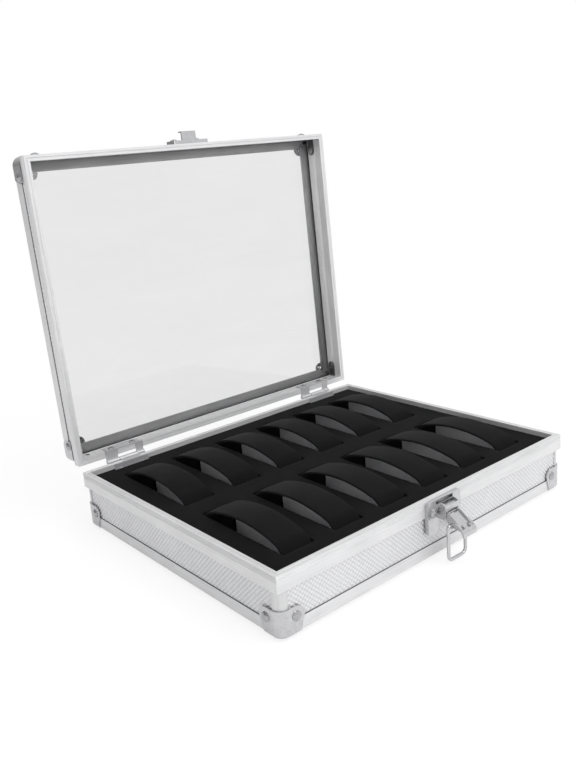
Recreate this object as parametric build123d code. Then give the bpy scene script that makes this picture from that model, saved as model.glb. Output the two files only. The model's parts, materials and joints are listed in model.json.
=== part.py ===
"""Watch display case: an aluminium-framed base and a windowed lid on two hinges, with a draw latch
in front and a foam insert that holds arched watch pillows.

Millimetres, +Z up. The origin is on the plane that the feet stand on, below the middle of the open
case from the lever's tip to the lid's top. Both halves are drawn as trays that stand on their outer
face about the middle of the base. The base stays so, and the lid's tray is turned over and then
swung open. An inset is a distance inwards from the outer face of the rims."""

from math import asin, cos, radians, sin, sqrt
import os

from build123d import *

os.makedirs("parts", exist_ok=True)

# Overall sizes
case_width = 250.0
case_depth = 204.0
base_height = 36.0
lid_height = 19.0
lid_open_angle = 92.5

# Rim rails: an outer and an inner wall joined by a web at the mating face
rim_outer_wall = 1.2
rim_inner_wall = 1.0
rim_web = 0.8
rim_inner_drop = 7.0
base_rim_drop = 10.0
lid_rim_drop = 6.5
mitre_reach = 12.0
flute_count = 4
flute_pitch = 0.9
flute_width = 0.5
flute_depth = 0.3
groove_width = 0.5
groove_depth = 0.3

# Wall panels, bottom panel and window
panel_thickness = 1.6
bottom_thickness = 2.0
window_thickness = 2.0
gasket_width = 0.5
gasket_height = 0.4

# Angle sections along the outer edges
edge_inset = 0.4
edge_thickness = 0.8
edge_end_gap = 6.4
base_edge_height = 7.0
base_edge_flange = 6.0
lid_edge_height = 7.5
lid_edge_flange = 9.5

# Corner posts of the base
post_inset = 0.5
post_radius = 5.2
post_leg_reach = 6.2
post_column_reach = 4.6
post_gap = 0.1

# Corner caps: sheet shells with a lobe and a rivet on each of their three faces
cap_sheet = 0.8
cap_corner_radius = 6.0
cap_edge_radius = 1.8
cap_wrap = 6.4
cap_lobe_end_angle = 35.0
base_cap_lobe = 5.5
base_cap_along = 10.8
base_cap_rise = 9.5
base_cap_foot = 13.0
lid_cap_lobe = 4.1
lid_cap_along = 12.4
lid_cap_rise = 7.6
lid_cap_foot = 13.6
cap_face_lobe = 4.8
cap_face_along = 10.4

# Rivets
rivet_head_radius = 2.9
rivet_head_height = 1.4
rivet_head_edge = 0.3
rivet_shank_radius = 1.5
rivet_tail_radius = 2.3
rivet_tail_height = 0.7
foot_flat_radius = 1.6
hole_clearance = 0.05

# Brackets inside the ends of the lid
bracket_thickness = 0.8
bracket_half_width = 3.2
bracket_gap = 0.1

# Foam insert and the pad beneath it
foam_top_drop = 3.0
foam_floor = 8.0
foam_gap = 0.3
pocket_columns = 6
pocket_pitch_x = 37.4
pocket_pitch_y = 92.0
pocket_width = 22.0
pocket_length = 75.0
pocket_corner_radius = 1.0

# Watch pillows: arched bands with tails that stand in the pockets
pillow_side_gap = 0.5
pillow_end_gap = 0.3
pillow_thickness = 1.8
pillow_crown = 8.5
pillow_crown_radius = 97.0
pillow_shoulder_radius = 11.4
pillow_edge_radius = 0.5

# Hinges
hinge_x = 90.0
hinge_out = 3.5
hinge_drop = 0.4
barrel_radius = 1.6
hinge_pin_radius = 0.6
pin_clearance = 0.05
knuckle_lengths = (9.0, 14.0, 5.6)
knuckle_gap = 0.3
leaf_thickness = 0.8
leaf_width = 26.0
leaf_drop = 8.0
neck_gap = 0.2
hinge_screw_spacing = 16.6
base_screw_drop = 5.4
lid_screw_drop = 3.2
screw_head_radius = 2.2
screw_head_height = 0.8
screw_shank_radius = 1.1
screw_slot_width = 0.5
screw_slot_depth = 0.4
foam_relief_gap = 0.5

# Latch plates
latch_half_width = 14.5
latch_sheet = 0.8
latch_out = 2.4
latch_gap = 0.5
base_plate_height = 20.5
wing_width = 9.3
wing_radius = 4.5
plate_corner_radius = 1.5
plate_middle_height = 12.5
latch_rivet_x = 9.4
base_latch_rivet_drop = 8.0
lid_latch_rivet_rise = 9.0
plate_slot_width = 15.0
plate_slot_height = 2.2
plate_slot_edge = 0.4
catch_plate_height = 13.1
corner_match = 0.1

# Latch housing, lever and its pin
ear_outer_x = 6.2
ear_thickness = 0.9
ear_out = 8.0
ear_bottom_drop = 12.0
ear_top_drop = 2.2
ear_corner_radius = 2.4
housing_face_drop = 6.8
housing_sheet = 0.8
pivot_out = 7.0
pivot_drop = 9.0
latch_pin_radius = 0.9
lever_open_angle = 55.0
lever_eye_radius = 1.9
lever_half_width = 5.0
lever_sheet = 0.8
lever_top = 2.7
lever_tray_top = 1.6
lever_wide_half_width = 6.0
lever_wide_start = 8.0
lever_wide_end = 12.8
lever_length = 17.0
prong_x = 2.6
prong_width = 1.6
prong_start = 10.4
prong_top = 3.2

# Bail: a wire loop hung in the lever, with its ends turned inwards
bail_pin_u = 6.4
bail_pin_v = 2.2
bail_eye_radius = 2.0
bail_wire_radius = 1.0
bail_half_width = 7.6
bail_drop = 21.5
bail_end_x = 3.8
bail_end_bend = 1.6
bail_corner_bend = 3.0

# Hook on the lid that the bail draws down
hook_half_width = 6.0
hook_sheet = 0.8
hook_bottom_rise = 3.3
hook_thickness = 1.0
hook_out = 8.6
hook_lip_rise = 7.2

# Places worked out from the sizes above
panel_back = rim_outer_wall + panel_thickness
rim_width = panel_back + rim_inner_wall
cap_proud = cap_sheet - edge_inset
cap_inner_radius = cap_corner_radius - cap_sheet
lid_corner_radius = cap_corner_radius - cap_proud - rim_outer_wall
closed_height = base_height + lid_height
foot_height = cap_sheet + rivet_head_height
foam_inset = rim_width + foam_gap
foam_top = base_height - foam_top_drop
base_floor_top = edge_thickness + bottom_thickness
window_back = edge_thickness + window_thickness
front = -case_depth / 2
back = case_depth / 2
left = -case_width / 2
pivot_y = back + hinge_out
pivot_z = base_height - hinge_drop
latch_pivot_y = front - pivot_out
latch_pivot_z = base_height - pivot_drop
lid_lean = radians(lid_open_angle - 90)
lid_top_height = closed_height + cap_sheet + rivet_head_height
lever_reach = latch_pivot_y - lever_length * sin(radians(lever_open_angle))
lid_reach = (pivot_y + (lid_top_height - pivot_z) * cos(lid_lean)
             + (pivot_y - front - cap_face_along) * sin(lid_lean))
middle_y = (lever_reach + lid_reach) / 2
side_turns = {"front": 0, "right": 90, "back": 180, "left": -90}


def side_length(side):
    return case_width if side in ("front", "back") else case_depth


def side_distance(side):
    return case_depth / 2 if side in ("front", "back") else case_width / 2


# General shapes


def block(x0, x1, y0, y1, z0, z1):
    """A box from its low and high faces."""
    return Pos((x0 + x1) / 2, (y0 + y1) / 2, (z0 + z1) / 2) * Box(x1 - x0, y1 - y0, z1 - z0)


def rounded_slab(inset, radius, z0, z1):
    """A slab of the case's outline drawn in by an inset, with round corners."""
    outline = RectangleRounded(case_width - 2 * inset, case_depth - 2 * inset, radius)
    return extrude(Pos(0, 0, z0) * outline, z1 - z0)


def mitre_wedge(side, height):
    """The space that belongs to one side of the case, cut at 45 degrees at both corners."""
    half = side_length(side) / 2
    near = -side_distance(side)
    outline = Polyline(
        (-half, near), (half, near), (half - mitre_reach, near + mitre_reach),
        (-half + mitre_reach, near + mitre_reach), close=True)
    wedge = extrude(make_face(outline), height)
    return Rot(0, 0, side_turns[side]) * wedge


def rail(side, section, end_gap=0.0):
    """A bar with a section of (inset, height) points along one side."""
    length = side_length(side) - 2 * end_gap
    start = Plane(origin=(-length / 2, -side_distance(side), 0), x_dir=(0, 1, 0), z_dir=(1, 0, 0))
    bar = extrude(start * make_face(Polyline(*section, close=True)), length)
    return Rot(0, 0, side_turns[side]) * bar


def four_corners(piece):
    """A piece drawn at the front left corner, and its mirror images at the other three."""
    right_one = mirror(piece, about=Plane.YZ)
    return [piece, right_one, mirror(piece, about=Plane.XZ), mirror(right_one, about=Plane.XZ)]


def drilled(piece, holes):
    for hole in holes:
        piece = piece - hole
    return piece


def stand(piece):
    """Move a piece drawn about the middle of the base's underside into the part's frame."""
    return Pos(0, -middle_y, foot_height) * piece


def swing_open(piece):
    """Turn a piece of the closed lid about the hinge pins to the open lid's place."""
    opened = Rot(-lid_open_angle, 0, 0) * Pos(0, -pivot_y, -pivot_z) * piece
    return stand(Pos(0, pivot_y, pivot_z) * opened)


def open_lid(piece):
    """Turn over a piece of the lid's tray, set it on the base and swing it open."""
    return swing_open(Pos(0, 0, closed_height) * mirror(piece, about=Plane.XY))


def save(name, *pieces):
    solids = [solid for piece in pieces for solid in piece.solids()]
    export_step(solids[0] if len(solids) == 1 else Compound(solids), f"parts/{name}.step")


# Rivets and screws, drawn upright with the underside of the head at z = 0


def rivet(grip, tail=False):
    """A domed rivet, with an upset tail where its inner end shows."""
    radius = rivet_head_radius
    rise = rivet_head_height - rivet_head_edge
    sphere_radius = (radius**2 + rise**2) / (2 * rise)
    half_angle = asin(radius / sphere_radius) / 2
    middle = (sphere_radius * sin(half_angle),
              rivet_head_height - sphere_radius * (1 - cos(half_angle)))
    outline = [
        Line((0, -grip), (rivet_shank_radius, -grip)),
        Line((rivet_shank_radius, -grip), (rivet_shank_radius, 0)),
        Line((rivet_shank_radius, 0), (radius, 0)),
        Line((radius, 0), (radius, rivet_head_edge)),
        ThreePointArc((radius, rivet_head_edge), middle, (0, rivet_head_height)),
        Line((0, rivet_head_height), (0, -grip)),
    ]
    body = revolve(Plane.XZ * make_face(outline), Axis.Z)
    if tail:
        upset = Cylinder(rivet_tail_radius, rivet_tail_height)
        body = body + Pos(0, 0, -grip - rivet_tail_height / 2) * upset
    return body


def foot_rivet(grip):
    """The rivet under a corner cap, with a flat on its head that the case stands on."""
    shank = Pos(0, 0, -grip / 2) * Cylinder(rivet_shank_radius, grip)
    head = Cone(rivet_head_radius, foot_flat_radius, rivet_head_height,
                align=(Align.CENTER, Align.CENTER, Align.MIN))
    return shank + head


def rivet_hole(depth):
    radius = rivet_shank_radius + hole_clearance
    return Pos(0, 0, -depth / 2) * Cylinder(radius, depth + 2 * rivet_head_height)


def screw(grip):
    """A pan-head screw with a cross recess."""
    shank = Pos(0, 0, -grip / 2) * Cylinder(screw_shank_radius, grip)
    head = Pos(0, 0, screw_head_height / 2) * Cylinder(screw_head_radius, screw_head_height)
    head = fillet(head.edges().group_by(Axis.Z)[-1], screw_head_height / 2)
    arm = screw_head_radius + screw_shank_radius
    slot = Box(arm, screw_slot_width, screw_slot_depth)
    cross = slot + Rot(0, 0, 90) * slot
    return shank + head - Pos(0, 0, screw_head_height - screw_slot_depth / 2) * cross


def screw_hole(depth):
    return Pos(0, 0, -depth / 2) * Cylinder(screw_shank_radius + hole_clearance, depth)


# Rims, panels and edges, which both halves have


def rim_section(height, outer_drop):
    """Rim section as (inset, height) points: flutes outside, a groove in the mating face."""
    points = [(0, height - outer_drop)]
    for number in reversed(range(flute_count)):
        middle = height - (number + 1) * flute_pitch
        points += [(0, middle - flute_width / 2), (flute_depth, middle), (0, middle + flute_width / 2)]
    groove = rim_width / 2
    points += [
        (0, height), (groove - groove_width / 2, height), (groove, height - groove_depth),
        (groove + groove_width / 2, height), (rim_width, height), (rim_width, height - rim_inner_drop),
        (panel_back, height - rim_inner_drop), (panel_back, height - rim_web),
        (rim_outer_wall, height - rim_web), (rim_outer_wall, height - outer_drop)]
    return points


def rim(side, height, outer_drop):
    return rail(side, rim_section(height, outer_drop)) & mitre_wedge(side, height)


def edge(side, edge_height, flange):
    """Angle section along an outer edge, its upright cut square at the ends and its flange mitred."""
    inner = edge_inset + edge_thickness
    section = [
        (edge_inset, 0), (edge_inset + flange, 0), (edge_inset + flange, edge_thickness),
        (inner, edge_thickness), (inner, edge_height), (edge_inset, edge_height)]
    bar = rail(side, section, edge_end_gap)
    return bar & mitre_wedge(side, edge_height)


# Corner caps


def cap_shell(reach):
    """Sheet corner before its lobes are cut: square inside, rounded outside."""
    inner = block(left + edge_inset, left + reach, front + edge_inset, front + reach, 0, reach)
    inner = fillet(upright_corner(inner), cap_inner_radius)
    outer = block(left - cap_proud, left + reach, front - cap_proud, front + reach, -cap_sheet, reach)
    outer = fillet(upright_corner(outer), cap_corner_radius)
    bottom = outer.faces().sort_by(Axis.Z)[0]
    shown = [line for line in bottom.edges() if outer_line(line, reach)]
    outer = fillet(shown, cap_edge_radius)
    return outer - inner


def upright_corner(piece):
    """The upright edge of a block that is nearest the front left corner."""
    return piece.edges().filter_by(Axis.Z).sort_by(lambda line: line.center().X + line.center().Y)[0]


def outer_line(line, reach):
    """True on the two outer sides of a cap's bottom face and the round between them."""
    middle = line.center()
    return middle.X < left + reach - cap_sheet and middle.Y < front + reach - cap_sheet


def side_lobe(along, rise, lobe, foot):
    """Outline of a cap's side face: a band from the corner with a round lobe about the rivet."""
    end = radians(-cap_lobe_end_angle)
    middle = radians((90 - cap_lobe_end_angle) / 2)
    tip = (along + lobe * cos(end), rise + lobe * sin(end))
    outside = -2 * cap_sheet
    return make_face([
        Line((outside, rise + lobe), (along, rise + lobe)),
        ThreePointArc((along, rise + lobe), (along + lobe * cos(middle), rise + lobe * sin(middle)), tip),
        Line(tip, (foot, outside)),
        Line((foot, outside), (outside, outside)),
        Line((outside, outside), (outside, rise + lobe)),
    ])


def corner_cap(along, rise, lobe, foot):
    """Cap at the front left corner: the shell inside three prisms, one for each face's lobe."""
    face = side_lobe(along, rise, lobe, foot)
    depth = cap_wrap + cap_proud
    front_plane = Plane(origin=(left, front - cap_proud, 0), x_dir=(1, 0, 0), z_dir=(0, -1, 0))
    side_plane = Plane(origin=(left - cap_proud, front, 0), x_dir=(0, 1, 0), z_dir=(1, 0, 0))
    front_prism = extrude(front_plane * face, -depth)
    side_prism = extrude(side_plane * face, depth)
    square = block(left - cap_proud, left + cap_face_along, front - cap_proud,
                   front + cap_face_along, -cap_sheet, edge_thickness)
    disc = Cylinder(cap_face_lobe, cap_sheet + edge_thickness)
    disc_z = (edge_thickness - cap_sheet) / 2
    face_prism = square + Pos(left + cap_face_along, front + cap_face_along, disc_z) * disc
    reach = along + lobe + cap_wrap
    return cap_shell(reach) & (front_prism + side_prism + face_prism)


def cap_rivet_places(along, rise):
    """Where the front, side and outer-face rivets of the front left cap sit, heads outwards."""
    return [
        Location((left + along, front - cap_proud, rise), (90, 0, 0)),
        Location((left - cap_proud, front + along, rise), (0, -90, 0)),
        Location((left + cap_face_along, front + cap_face_along, -cap_sheet), (180, 0, 0)),
    ]


def cap_holes(along, rise, depth):
    """Every hole for the cap rivets of one half of the case."""
    cutters = [place * rivet_hole(depth) for place in cap_rivet_places(along, rise)]
    return [hole for cutter in cutters for hole in four_corners(cutter)]


# Base


def base_panel(side):
    end_gap = post_column_reach + post_gap
    section = [
        (rim_outer_wall, edge_thickness), (panel_back, edge_thickness),
        (panel_back, base_height - rim_web), (rim_outer_wall, base_height - rim_web)]
    return rail(side, section, end_gap)


def corner_post():
    """Post at the front left corner: two thin legs outside and an L column behind them."""
    round_end = post_inset + post_radius
    middle = round_end - post_radius * sin(radians(45))
    curves = [
        Line((post_leg_reach, post_inset), (round_end, post_inset)),
        ThreePointArc((round_end, post_inset), (middle, middle), (post_inset, round_end)),
        Polyline(
            (post_inset, round_end), (post_inset, post_leg_reach), (rim_outer_wall, post_leg_reach),
            (rim_outer_wall, post_column_reach), (panel_back, post_column_reach), (panel_back, panel_back),
            (post_column_reach, panel_back), (post_column_reach, rim_outer_wall),
            (post_leg_reach, rim_outer_wall), (post_leg_reach, post_inset)),
    ]
    return extrude(Pos(left, front, 0) * make_face(curves), base_height - base_rim_drop)


def bottom_panel():
    half_x = case_width / 2 - panel_back
    half_y = case_depth / 2 - panel_back
    return block(-half_x, half_x, -half_y, half_y, edge_thickness, base_floor_top)


def pocket_centres():
    first = -(pocket_columns - 1) / 2 * pocket_pitch_x
    for row, y in (("front", -pocket_pitch_y / 2), ("back", pocket_pitch_y / 2)):
        for number in range(pocket_columns):
            yield row, number + 1, first + number * pocket_pitch_x, y


def foam_outline():
    return case_width / 2 - foam_inset, case_depth / 2 - foam_inset


def foam_insert():
    """Foam block with a pocket for each pillow and reliefs behind the hinge leaves."""
    half_x, half_y = foam_outline()
    foam = block(-half_x, half_x, -half_y, half_y, foam_floor, foam_top)
    pocket_outline = RectangleRounded(pocket_width, pocket_length, pocket_corner_radius)
    pocket = extrude(pocket_outline, foam_top - foam_floor)
    for _, _, x, y in pocket_centres():
        foam = foam - Pos(x, y, foam_floor) * pocket
    relief_half = leaf_width / 2 + foam_relief_gap
    relief_front = back - rim_width - leaf_thickness - screw_head_height - foam_relief_gap
    relief_floor = base_height - leaf_drop - foam_relief_gap
    for x in (-hinge_x, hinge_x):
        foam = foam - block(x - relief_half, x + relief_half, relief_front, half_y, relief_floor, foam_top)
    return foam


def foam_pad():
    half_x, half_y = foam_outline()
    return block(-half_x, half_x, -half_y, half_y, base_floor_top, foam_floor)


def pillow_curve(shrink):
    """Upper outline of a pillow as curves from its near foot over the crown to its far foot."""
    half = pocket_length / 2 - pillow_end_gap
    foot = foam_floor + pillow_end_gap
    apex = foam_top + pillow_crown
    crown_z = apex - pillow_crown_radius
    reach = pillow_crown_radius - pillow_shoulder_radius
    shoulder_y = half - pillow_shoulder_radius
    shoulder_z = crown_z + sqrt(reach**2 - shoulder_y**2)
    crown_radius = pillow_crown_radius - shrink
    radius = pillow_shoulder_radius - shrink
    lean = asin(shoulder_y / reach)
    turn = (lean + radians(90)) / 2
    meet = (crown_radius * sin(lean), crown_z + crown_radius * cos(lean))
    bend = (shoulder_y + radius * sin(turn), shoulder_z + radius * cos(turn))
    side = half - shrink
    return [
        Line((-side, foot), (-side, shoulder_z)),
        ThreePointArc((-side, shoulder_z), (-bend[0], bend[1]), (-meet[0], meet[1])),
        ThreePointArc((-meet[0], meet[1]), (0, apex - shrink), meet),
        ThreePointArc(meet, bend, (side, shoulder_z)),
        Line((side, shoulder_z), (side, foot)),
    ]


def pillow():
    """Arched band whose crown stands above the foam and whose tails reach down into the pocket."""
    outer = pillow_curve(0)
    inner = pillow_curve(pillow_thickness)
    feet = [Line(outer[0] @ 0, inner[0] @ 0), Line(outer[-1] @ 1, inner[-1] @ 1)]
    width = pocket_width - 2 * pillow_side_gap
    section = Plane(origin=(-width / 2, 0, 0), x_dir=(0, 1, 0), z_dir=(1, 0, 0))
    band = extrude(section * make_face(outer + inner + feet), width)
    sides = band.faces().sort_by(Axis.X)
    rims_to_round = sides[0].edges() + sides[-1].edges()
    return fillet(rims_to_round, pillow_edge_radius)


# Lid, drawn as a tray that stands on its window face


def lid_panels():
    """The four wall strips between the window and the rims, round outside at the corners."""
    top = lid_height - rim_web
    outer = rounded_slab(rim_outer_wall, lid_corner_radius, window_back, top)
    half_x = case_width / 2 - panel_back
    half_y = case_depth / 2 - panel_back
    ring = outer - block(-half_x, half_x, -half_y, half_y, window_back, top)
    return [ring & mitre_wedge(side, lid_height) for side in side_turns]


def window():
    return rounded_slab(rim_outer_wall, lid_corner_radius, edge_thickness, window_back)


def gasket():
    """Black strip in the corner between the window and the wall strips."""
    top = window_back + gasket_height
    outer = rounded_slab(panel_back, gasket_width, window_back, top)
    return outer - rounded_slab(panel_back + gasket_width, gasket_width / 2, window_back, top)


def bracket():
    """Backing plate of the front left cap on the inside of the lid's left end."""
    start = panel_back + gasket_width
    stem_y = (front + start + front + lid_cap_along) / 2
    stem_length = lid_cap_along - start
    x = left + panel_back + bracket_thickness / 2
    stem = Pos(x, stem_y, lid_cap_rise) * Box(bracket_thickness, stem_length, 2 * bracket_half_width)
    disc = Rot(0, 90, 0) * Cylinder(bracket_half_width, bracket_thickness)
    plate = stem + Pos(x, front + lid_cap_along, lid_cap_rise) * disc
    floor = window_back + gasket_height + bracket_gap
    over = block(left, 0, front, 0, 0, floor)
    return plate - over


# Hinges, drawn closed about one hinge's middle and then moved to x = -hinge_x and hinge_x


def knuckle_spans():
    """Start and end of each knuckle along the pin."""
    start = -(sum(knuckle_lengths) + 2 * knuckle_gap) / 2
    for length in knuckle_lengths:
        yield start, start + length
        start += length + knuckle_gap


def along_pin(radius, x0, x1):
    return Pos((x0 + x1) / 2, pivot_y, pivot_z) * Rot(0, 90, 0) * Cylinder(radius, x1 - x0)


def leaf(spans, direction):
    """Hinge leaf: knuckles, necks through the rim's mating face and a flange on its inner face."""
    neck_base = base_height
    neck_top = base_height + direction * leaf_thickness
    low, high = sorted((neck_base, neck_top))
    flange_end = base_height + direction * leaf_drop
    flange_low, flange_high = sorted((base_height, flange_end))
    inner = back - rim_width - leaf_thickness
    plate = block(-leaf_width / 2, leaf_width / 2, inner, back - rim_width, flange_low, flange_high)
    for x0, x1 in spans:
        plate = plate + block(x0, x1, inner, pivot_y, low, high)
        plate = plate + along_pin(barrel_radius, x0, x1)
    bore = along_pin(hinge_pin_radius + pin_clearance, -leaf_width, leaf_width)
    return plate - bore


def leaf_notches(spans):
    """Cutters for the necks of one leaf in a back rim's mating face."""
    for hinge in (-hinge_x, hinge_x):
        for x0, x1 in spans:
            yield block(hinge + x0 - neck_gap, hinge + x1 + neck_gap, back - rim_width, back,
                        base_height - leaf_thickness, base_height + leaf_thickness)


def hinge_screw_places(direction):
    z = base_height + (lid_screw_drop if direction > 0 else -base_screw_drop)
    y = back - rim_width - leaf_thickness
    return [Location((side * hinge_screw_spacing / 2, y, z), (90, 0, 0)) for side in (-1, 1)]


def both_hinges(piece):
    return [Pos(x, 0, 0) * piece for x in (-hinge_x, hinge_x)]


def hinge_screw_holes(direction):
    depth = leaf_thickness + rim_inner_wall
    cutters = [place * screw_hole(depth) for place in hinge_screw_places(direction)]
    return [hole for cutter in cutters for hole in both_hinges(cutter)]


def hinge_pin():
    spans = list(knuckle_spans())
    return along_pin(hinge_pin_radius, spans[0][0], spans[-1][1])


# Latch, drawn on the closed case


def front_face(points, corner_radii):
    """A face in the latch's front view, from (x, height) points with a radius for each corner."""
    plane = Plane(origin=(0, front, 0), x_dir=(1, 0, 0), z_dir=(0, -1, 0))
    outline = Polyline(*points, close=True)
    face = make_face(outline)
    for radius in sorted(set(corner_radii) - {0}):
        chosen = [
            corner for corner in face.vertices()
            for point, wanted in zip(points, corner_radii)
            if wanted == radius and (corner.center() - Vector(*point)).length < corner_match]
        face = fillet(chosen, radius)
    return plane, face


def pressed_plate(points, corner_radii):
    """A sheet cover that stands off the rim, its edges turned back to the rim all round."""
    plane, face = front_face(points, corner_radii)
    solid = extrude(plane * face, latch_out)
    hollow = extrude(plane * offset(face, -latch_sheet, kind=Kind.INTERSECTION), latch_out - latch_sheet)
    return solid - hollow


def latch_rivet_place(z):
    return Location((latch_rivet_x, front - latch_out, z), (90, 0, 0))


def latch_rivets(z):
    grip = latch_out + panel_back
    one = latch_rivet_place(z) * rivet(grip)
    return [one, mirror(one, about=Plane.YZ)]


def latch_rivet_holes(z):
    one = latch_rivet_place(z) * rivet_hole(latch_out + panel_back)
    return [one, mirror(one, about=Plane.YZ)]


def plate_slot(z0, z1):
    half = plate_slot_width / 2
    return block(-half, half, front - latch_out, front - latch_out + latch_sheet, z0, z1)


def ear():
    """One cheek of the housing, with its outer corners well rounded."""
    root = front - latch_out + latch_sheet
    cheek = block(ear_outer_x - ear_thickness, ear_outer_x, front - ear_out, root,
                  base_height - ear_bottom_drop, base_height - ear_top_drop)
    outer_corners = cheek.edges().filter_by(Axis.X).group_by(Axis.Y)[0]
    return fillet(outer_corners, ear_corner_radius)


def across(radius, half_length, y, z):
    """A cylinder along X about the middle of the latch."""
    return Pos(0, y, z) * Rot(0, 90, 0) * Cylinder(radius, 2 * half_length)


def latch_base_plate():
    """Cover plate with two wings, and the housing that the lever turns in."""
    top = base_height - latch_gap
    middle = top - plate_middle_height
    bottom = top - base_plate_height
    wing = latch_half_width - wing_width
    points = [
        (-latch_half_width, top), (-latch_half_width, bottom), (-wing, bottom), (-wing, middle),
        (wing, middle), (wing, bottom), (latch_half_width, bottom), (latch_half_width, top)]
    outer, inner = plate_corner_radius, wing_radius
    plate = pressed_plate(points, (outer, outer, inner, 0, 0, inner, outer, outer))
    slot_top = top - plate_slot_edge
    plate = plate - plate_slot(slot_top - plate_slot_height, slot_top)
    face_top = base_height - ear_top_drop - ear_corner_radius / 2
    face = block(-ear_outer_x, ear_outer_x, front - ear_out, front - ear_out + housing_sheet,
                 base_height - housing_face_drop, face_top)
    roof = block(-ear_outer_x, ear_outer_x, front - ear_out, front - latch_out + latch_sheet,
                 face_top - housing_sheet, face_top)
    cheek = ear()
    plate = plate + cheek + mirror(cheek, about=Plane.YZ) + face + roof
    plate = plate - across(latch_pin_radius + hole_clearance, ear_outer_x, latch_pivot_y, latch_pivot_z)
    return drilled(plate, latch_rivet_holes(base_height - base_latch_rivet_drop))


def latch_catch_plate():
    """Cover plate on the lid with the hook that the bail pulls on."""
    bottom = base_height + latch_gap
    top = bottom + catch_plate_height
    corners = (plate_corner_radius, plate_corner_radius, wing_radius, wing_radius)
    points = [(-latch_half_width, bottom), (latch_half_width, bottom), (latch_half_width, top),
              (-latch_half_width, top)]
    plate = pressed_plate(points, corners)
    slot_low = bottom + plate_slot_edge
    plate = plate - plate_slot(slot_low, slot_low + plate_slot_height)
    tab_low = base_height + hook_bottom_rise
    root = front - latch_out + latch_sheet
    tab = block(-hook_half_width, hook_half_width, front - hook_out, root, tab_low, tab_low + hook_thickness)
    lip = block(-hook_half_width, hook_half_width, front - hook_out, front - hook_out + hook_sheet,
                tab_low, base_height + hook_lip_rise)
    return drilled(plate + tab + lip, latch_rivet_holes(base_height + lid_latch_rivet_rise))


# Lever, drawn folded down: u runs down from the pivot and v runs outwards from the case


def lever_plane(x):
    return Plane(origin=(x, latch_pivot_y, latch_pivot_z), x_dir=(0, 0, -1), z_dir=(-1, 0, 0))


def lever_bar(face, x0, x1):
    """A (u, v) face extruded from one x to another."""
    return extrude(lever_plane(x1) * face, x1 - x0)


def lever_outline():
    """Side view of a cheek: the pivot's eye, the raised edge and the eye of the bail."""
    foot = lever_top - lever_sheet
    body = make_face(Polyline(
        (0, lever_eye_radius), (lever_top, lever_top), (lever_wide_start, lever_top),
        (lever_wide_end, foot), (lever_wide_end, 0), (bail_pin_u + bail_eye_radius, -bail_pin_v),
        (bail_pin_u, -bail_pin_v - bail_eye_radius / 2), (0, -lever_eye_radius), close=True))
    return body + Circle(lever_eye_radius) + Pos(bail_pin_u, -bail_pin_v) * Circle(bail_eye_radius)


def finger_lip():
    """Rounded end that a finger lifts, curling towards the case."""
    thick = lever_sheet
    start = (lever_wide_end - thick, lever_tray_top)
    tip = (lever_length, -thick)
    bulge = (lever_length - 1.5 * thick, lever_tray_top - thick / 2)
    inner_bulge = (bulge[0] - thick, bulge[1] - thick)
    return make_face([
        ThreePointArc(start, bulge, tip),
        Line(tip, (tip[0] - thick, tip[1])),
        ThreePointArc((tip[0] - thick, tip[1]), inner_bulge, (start[0], start[1] - thick)),
        Line((start[0], start[1] - thick), start),
    ])


def lever():
    """Pressed lever: two cheeks, a sunk tray between them, prongs and the finger's lip."""
    cheek = lever_bar(lever_outline(), lever_half_width - lever_sheet, lever_half_width)
    tray_face = Pos((lever_eye_radius + lever_wide_end) / 2, lever_tray_top - lever_sheet / 2) * Rectangle(
        lever_wide_end - lever_eye_radius, lever_sheet)
    tray = lever_bar(tray_face, -lever_half_width, lever_half_width)
    wide_length = lever_wide_end - lever_wide_start
    edge_face = Pos(lever_wide_start + wide_length / 2, lever_tray_top) * Rectangle(
        wide_length, 2 * (lever_tray_top - lever_sheet))
    wide_edge = lever_bar(edge_face, lever_half_width, lever_wide_half_width)
    lip = lever_bar(finger_lip(), -lever_wide_half_width, lever_wide_half_width)
    prong_face = make_face(Polyline(
        (prong_start, lever_tray_top), (lever_wide_end, lever_tray_top),
        (lever_wide_end, prong_top), close=True))
    prong = lever_bar(prong_face, prong_x - prong_width / 2, prong_x + prong_width / 2)
    body = tray + lip
    for piece in (cheek, wide_edge, prong):
        body = body + piece + mirror(piece, about=Plane.YZ)
    body = body - across(latch_pin_radius + pin_clearance, lever_half_width, latch_pivot_y, latch_pivot_z)
    bail_hole = across(bail_wire_radius + pin_clearance, lever_half_width,
                       latch_pivot_y + bail_pin_v, latch_pivot_z - bail_pin_u)
    return body - bail_hole


def lift_lever(piece):
    """Turn a piece of the folded lever about its pin to the open lever's place."""
    opened = Rot(-lever_open_angle, 0, 0) * Pos(0, -latch_pivot_y, -latch_pivot_z) * piece
    return Pos(0, latch_pivot_y, latch_pivot_z) * opened


def bail_axis():
    """Where the bail's ends turn in the open lever, as (y, z)."""
    lift = radians(lever_open_angle)
    out = bail_pin_u * sin(lift) - bail_pin_v * cos(lift)
    down = bail_pin_u * cos(lift) + bail_pin_v * sin(lift)
    return latch_pivot_y - out, latch_pivot_z - down


def bail():
    """Bent wire loop that hangs straight down from the open lever."""
    y, z = bail_axis()
    low = z - bail_drop
    points = [
        (-bail_end_x, y, z), (-bail_half_width, y, z), (-bail_half_width, y, low),
        (bail_half_width, y, low), (bail_half_width, y, z), (bail_end_x, y, z)]
    bends = [bail_end_bend, bail_corner_bend, bail_corner_bend, bail_end_bend]
    path = FilletPolyline(*points, radius=bends)
    start = Plane(origin=points[0], z_dir=(-1, 0, 0))
    return sweep(start * Circle(bail_wire_radius), path=path)


# Building every piece


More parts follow.
